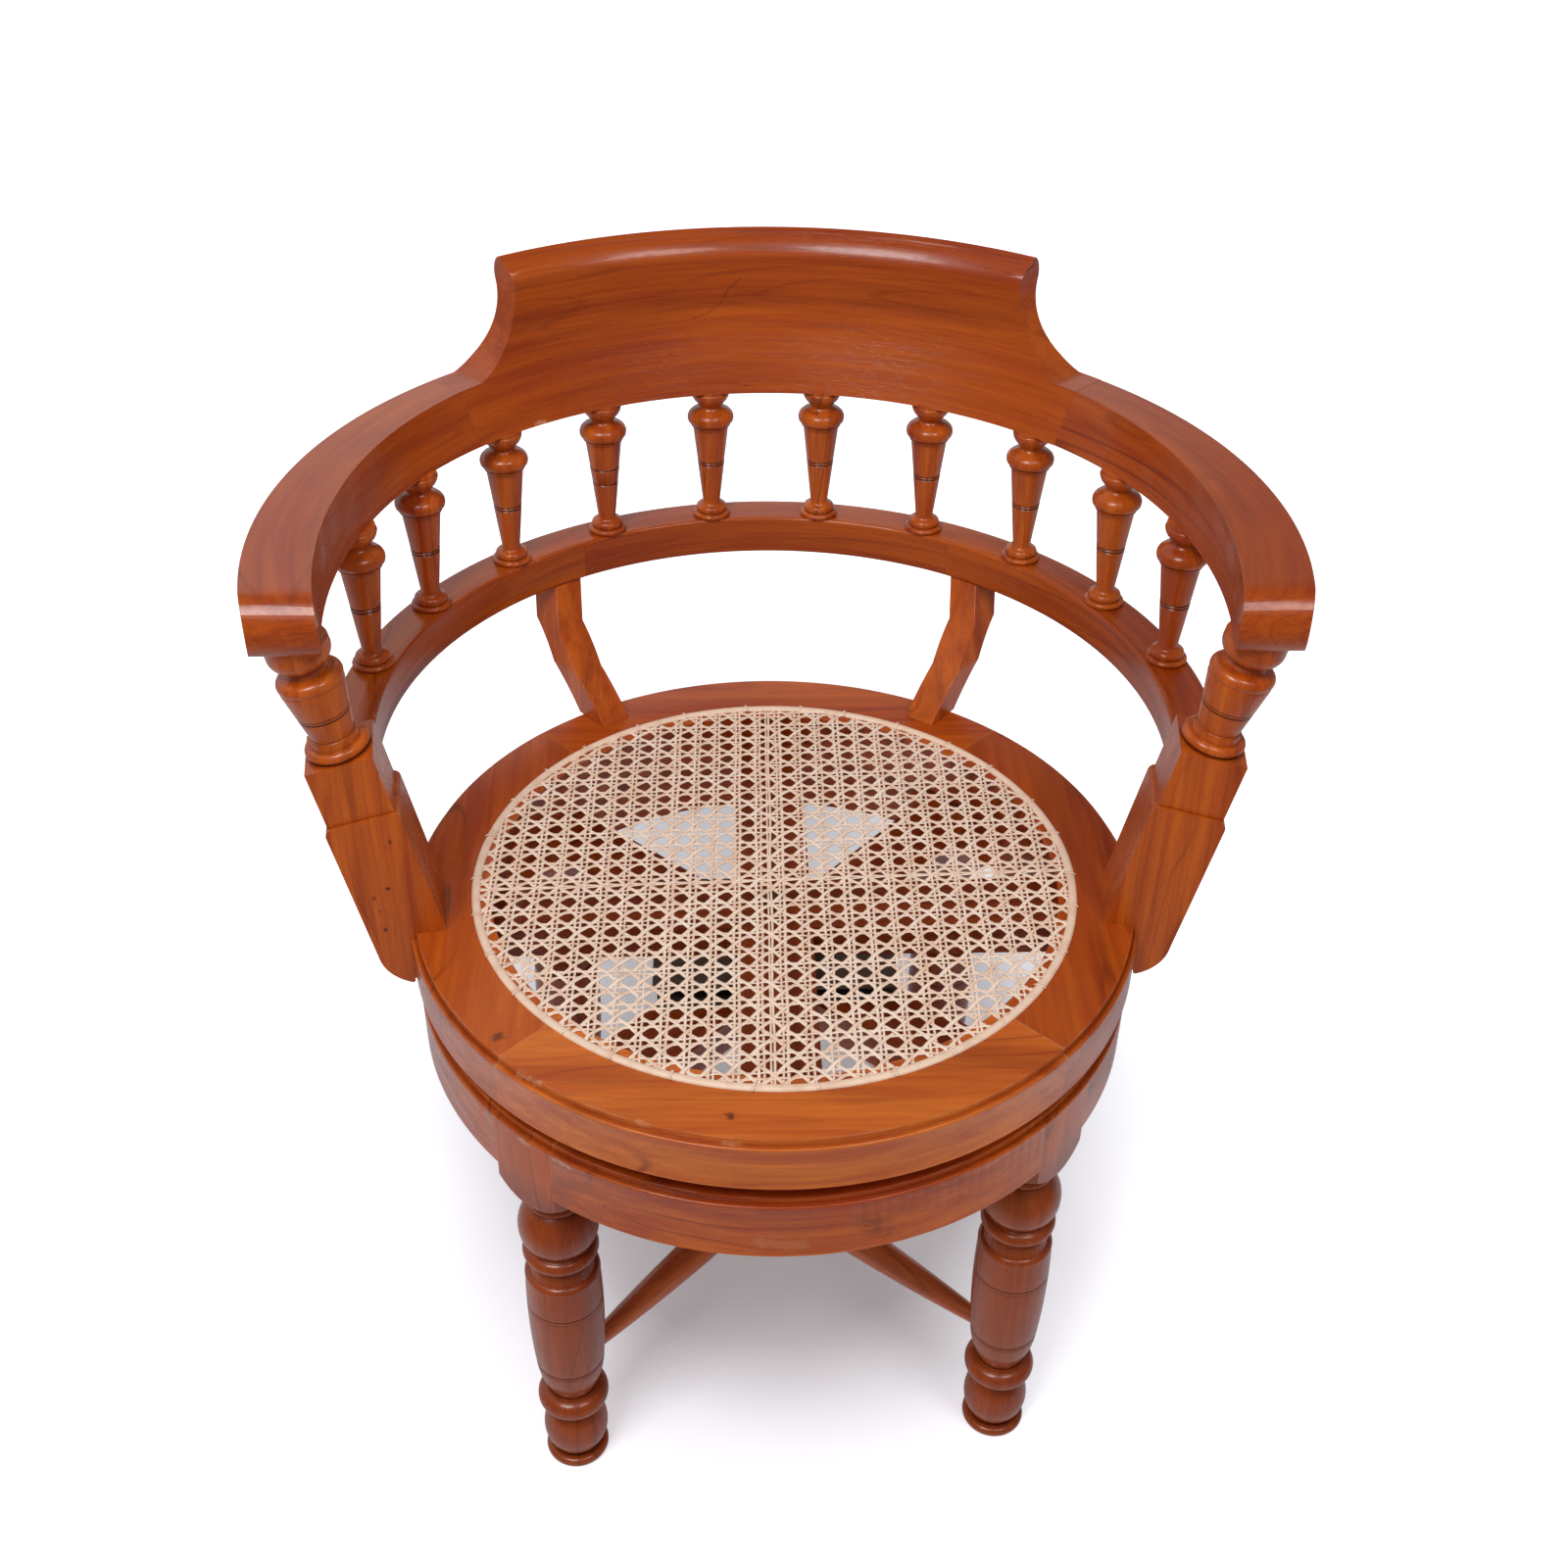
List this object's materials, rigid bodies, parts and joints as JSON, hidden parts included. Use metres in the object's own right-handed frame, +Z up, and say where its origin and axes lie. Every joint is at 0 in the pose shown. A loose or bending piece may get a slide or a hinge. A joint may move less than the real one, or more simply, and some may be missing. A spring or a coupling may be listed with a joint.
{
  "type": "swivel armchair",
  "caption": "Revolving wooden armchair with a round caned seat, turned balusters under a horseshoe arm rail, and turned legs joined by crossed stretchers.",
  "frame": {"origin": "on the floor under the middle of the chair's bounding box; the swivel axis is 63 mm in front of it", "axes": "+Z up along the swivel axis, -Y the way a sitter faces, +X to the sitter's left, which is the right in the picture and in node names"},
  "size_m": [0.714, 0.6725, 0.8127],
  "materials": {
    "polished_teak": "satin polished, warm orange brown",
    "dark_teak": "satin polished, darker red brown",
    "cane": "natural split cane, light tan, satin",
    "steel": "dull worn steel"
  },
  "bodies": {
    "base": {"leg_front_left": "dark_teak", "leg_front_right": "dark_teak", "leg_back_right": "dark_teak", "leg_back_left": "dark_teak", "base_rail_front": "dark_teak", "base_rail_right": "dark_teak", "base_rail_back": "dark_teak", "base_rail_left": "dark_teak", "base_ring_dowels": "dark_teak", "base_bar_lower": "dark_teak", "base_bar_upper": "dark_teak", "stretcher_lower": "dark_teak", "stretcher_upper": "dark_teak", "swivel_lower_plate": "steel", "lower_plate_screws": "steel", "swivel_balls": "steel", "swivel_ball_cage": "steel"},
    "seat": {"seat_ring_front": "polished_teak", "seat_ring_right": "polished_teak", "seat_ring_back": "polished_teak", "seat_ring_left": "polished_teak", "seat_ring_dowels": "polished_teak", "seat_bar_front_back": "polished_teak", "seat_bar_left_right": "polished_teak", "front_post_left": "polished_teak", "front_post_right": "polished_teak", "rear_knee_left": "polished_teak", "rear_knee_right": "polished_teak", "lower_hoop_left": "polished_teak", "lower_hoop_back": "polished_teak", "lower_hoop_right": "polished_teak", "lower_hoop_dowels": "polished_teak", "baluster_01": "polished_teak", "baluster_02": "polished_teak", "baluster_03": "polished_teak", "baluster_04": "polished_teak", "baluster_05": "polished_teak", "baluster_06": "polished_teak", "baluster_07": "polished_teak", "baluster_08": "polished_teak", "baluster_09": "polished_teak", "baluster_10": "polished_teak", "arm_left": "polished_teak", "arm_right": "polished_teak", "arm_dowels": "polished_teak", "crest_rail": "polished_teak", "cane_panel": "cane", "cane_binding": "cane", "swivel_upper_plate": "steel", "upper_plate_screws": "steel", "seat_bar_screws": "steel", "front_post_screws": "steel", "pivot_bolt": "steel", "pivot_nut": "steel", "pivot_washer": "steel"}
  },
  "joints": [
    {"name": "seat_swivel", "type": "hinge", "parent": "base", "child": "seat", "pos_m": [0, -0.063, 0.384], "axis": [0, 0, 1], "continuous": true}
  ]
}
